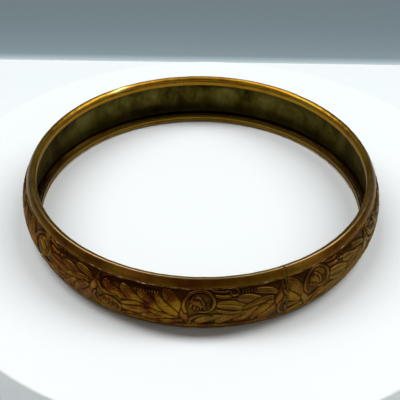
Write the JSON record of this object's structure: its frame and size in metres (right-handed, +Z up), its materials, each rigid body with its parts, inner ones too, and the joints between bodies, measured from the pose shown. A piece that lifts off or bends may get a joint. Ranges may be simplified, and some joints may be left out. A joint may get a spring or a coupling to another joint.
{
  "type": "bangle bracelet",
  "caption": "Closed slip-on bangle: a domed brass band pressed with scroll and leaf ornament, edged with plain rolled rims and open at the back.",
  "frame": {"origin": "centre of the plane that the lower rim stands on, on the axis of the ring", "axes": "+Z up along the ring's axis; -Y is the front; the soldered seam is 25.2 degrees from the front towards +X"},
  "size_m": [0.0696, 0.0696, 0.0117],
  "materials": {
    "relief_brass": "aged pressed brass: dark brown in the recesses, rubbed on the high parts, olive-black patina on the back",
    "rim_brass": "worn smooth, dull polish",
    "wire_brass": "drawn wire, unpolished",
    "seam_solder": "dull grey-green hard solder"
  },
  "bodies": {
    "root": {"relief_band": "relief_brass", "upper_rim": "rim_brass", "lower_rim": "rim_brass", "upper_rim_wire": "wire_brass", "lower_rim_wire": "wire_brass", "band_seam_solder": "seam_solder", "upper_rim_seam_solder": "seam_solder", "lower_rim_seam_solder": "seam_solder"}
  },
  "joints": []
}
